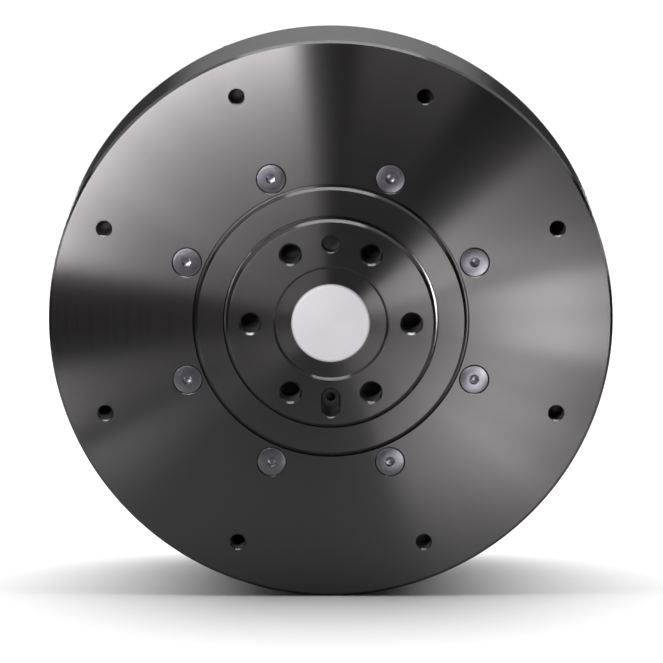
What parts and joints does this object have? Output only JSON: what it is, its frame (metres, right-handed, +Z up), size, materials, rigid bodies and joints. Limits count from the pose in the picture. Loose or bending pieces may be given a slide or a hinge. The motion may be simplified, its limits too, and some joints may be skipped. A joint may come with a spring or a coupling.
{
  "type": "robot joint actuator",
  "caption": "Round flat robot joint actuator: outrunner motor, planetary stage and driver in one case, with a bolted front output flange.",
  "frame": {"origin": "centre of the housing's front mounting face, on the rotation axis", "axes": "-Y along the rotation axis towards the output side, +Z up through the dowel hole, connectors at -Z"},
  "size_m": [0.098, 0.0385, 0.098],
  "materials": {
    "anodised_case": "black anodised, turned lines",
    "anodised_output": "black anodised, turned lines",
    "satin_plug": "satin",
    "oxide_screws": "black oxide",
    "gear_steel": "ground",
    "bearing_steel": "polished",
    "bronze_bush": "machined",
    "bare_aluminium": "machined",
    "plated_magnet": "nickel plated",
    "soft_iron": "laminated",
    "insulation": "matte",
    "enamelled_copper": "enamelled wire",
    "lead_sleeve": "silicone sleeve",
    "board_laminate": "solder mask",
    "chip_resin": "moulded",
    "can_aluminium": "bright",
    "cover_plastic": "fine texture",
    "power_plastic": "satin",
    "socket_plastic": "satin",
    "gold_contact": "gold plated"
  },
  "bodies": {
    "housing": {"bearing_retainer": "anodised_output", "board_chips": "chip_resin", "board_screws": "oxide_screws", "bus_capacitors": "can_aluminium", "bus_socket": "socket_plastic", "circuit_board": "board_laminate", "cover_screws": "oxide_screws", "debug_socket": "socket_plastic", "encoder_chip": "chip_resin", "frame_screws": "oxide_screws", "front_housing": "anodised_case", "output_bearing_outer_race": "bearing_steel", "phase_leads": "lead_sleeve", "plate_screws": "oxide_screws", "power_pins": "gold_contact", "power_socket": "power_plastic", "power_transistors": "chip_resin", "preload_washer": "bearing_steel", "rear_bearing_outer_race": "bearing_steel", "rear_cover": "cover_plastic", "rear_frame": "anodised_case", "ring_gear": "gear_steel", "signal_pins": "gold_contact", "stator_coils": "enamelled_copper", "stator_core": "soft_iron", "stator_hub": "anodised_case", "stator_insulation": "insulation", "thermal_pad": "insulation"},
    "rotor": {"sun_gear_shaft": "gear_steel", "rotor_bell": "bare_aluminium", "rotor_screws": "oxide_screws", "flux_ring": "soft_iron", "rotor_magnets": "plated_magnet", "encoder_magnet": "plated_magnet", "rear_bearing_inner_race": "bearing_steel", "rotor_spacer": "bearing_steel"},
    "output": {"output_flange": "anodised_output", "centre_plug": "satin_plug", "output_bearing_inner_race": "bearing_steel", "planet_carrier": "bare_aluminium", "carrier_screws": "oxide_screws", "planet_pins": "bearing_steel", "thrust_washers": "bearing_steel", "pilot_bearing_cup": "bearing_steel"},
    "output_rollers": {"output_bearing_rollers": "bearing_steel"},
    "pilot_needles": {"pilot_bearing_needles": "bearing_steel"},
    "rear_balls": {"rear_bearing_balls": "bearing_steel", "rear_bearing_cage": "bearing_steel"},
    "planet_1": {"planet_gear_1": "gear_steel", "planet_bush_1": "bronze_bush"},
    "planet_2": {"planet_gear_2": "gear_steel", "planet_bush_2": "bronze_bush"},
    "planet_3": {"planet_gear_3": "gear_steel", "planet_bush_3": "bronze_bush"}
  },
  "joints": [
    {"name": "rotor_spin", "type": "hinge", "parent": "housing", "child": "rotor", "pos_m": [0, 0.0269, 0], "axis": [0, -1, 0], "continuous": true},
    {"name": "output_spin", "type": "hinge", "parent": "housing", "child": "output", "pos_m": [0, 0, 0], "axis": [0, -1, 0], "continuous": true},
    {"name": "output_rollers_spin", "type": "hinge", "parent": "housing", "child": "output_rollers", "pos_m": [0, 0.0051, 0], "axis": [0, -1, 0], "continuous": true},
    {"name": "rear_balls_spin", "type": "hinge", "parent": "housing", "child": "rear_balls", "pos_m": [0, 0.0269, 0], "axis": [0, -1, 0], "continuous": true},
    {"name": "pilot_needles_spin", "type": "hinge", "parent": "output", "child": "pilot_needles", "pos_m": [0, 0.0063, 0], "axis": [0, -1, 0], "continuous": true},
    {"name": "planet_1_spin", "type": "hinge", "parent": "output", "child": "planet_1", "pos_m": [0.01169, 0.0131, 0.00675], "axis": [0, -1, 0], "continuous": true},
    {"name": "planet_2_spin", "type": "hinge", "parent": "output", "child": "planet_2", "pos_m": [-0.01169, 0.0131, 0.00675], "axis": [0, -1, 0], "continuous": true},
    {"name": "planet_3_spin", "type": "hinge", "parent": "output", "child": "planet_3", "pos_m": [0, 0.0131, -0.0135], "axis": [0, -1, 0], "continuous": true}
  ],
  "couplings": [
    {"joint": "output_spin", "follows": "rotor_spin", "ratio": 0.11111},
    {"joint": "output_rollers_spin", "follows": "rotor_spin", "ratio": 0.052681},
    {"joint": "rear_balls_spin", "follows": "rotor_spin", "ratio": 0.41034},
    {"joint": "pilot_needles_spin", "follows": "rotor_spin", "ratio": 0.34188},
    {"joint": "planet_1_spin", "follows": "rotor_spin", "ratio": -0.25397},
    {"joint": "planet_2_spin", "follows": "rotor_spin", "ratio": -0.25397},
    {"joint": "planet_3_spin", "follows": "rotor_spin", "ratio": -0.25397}
  ]
}
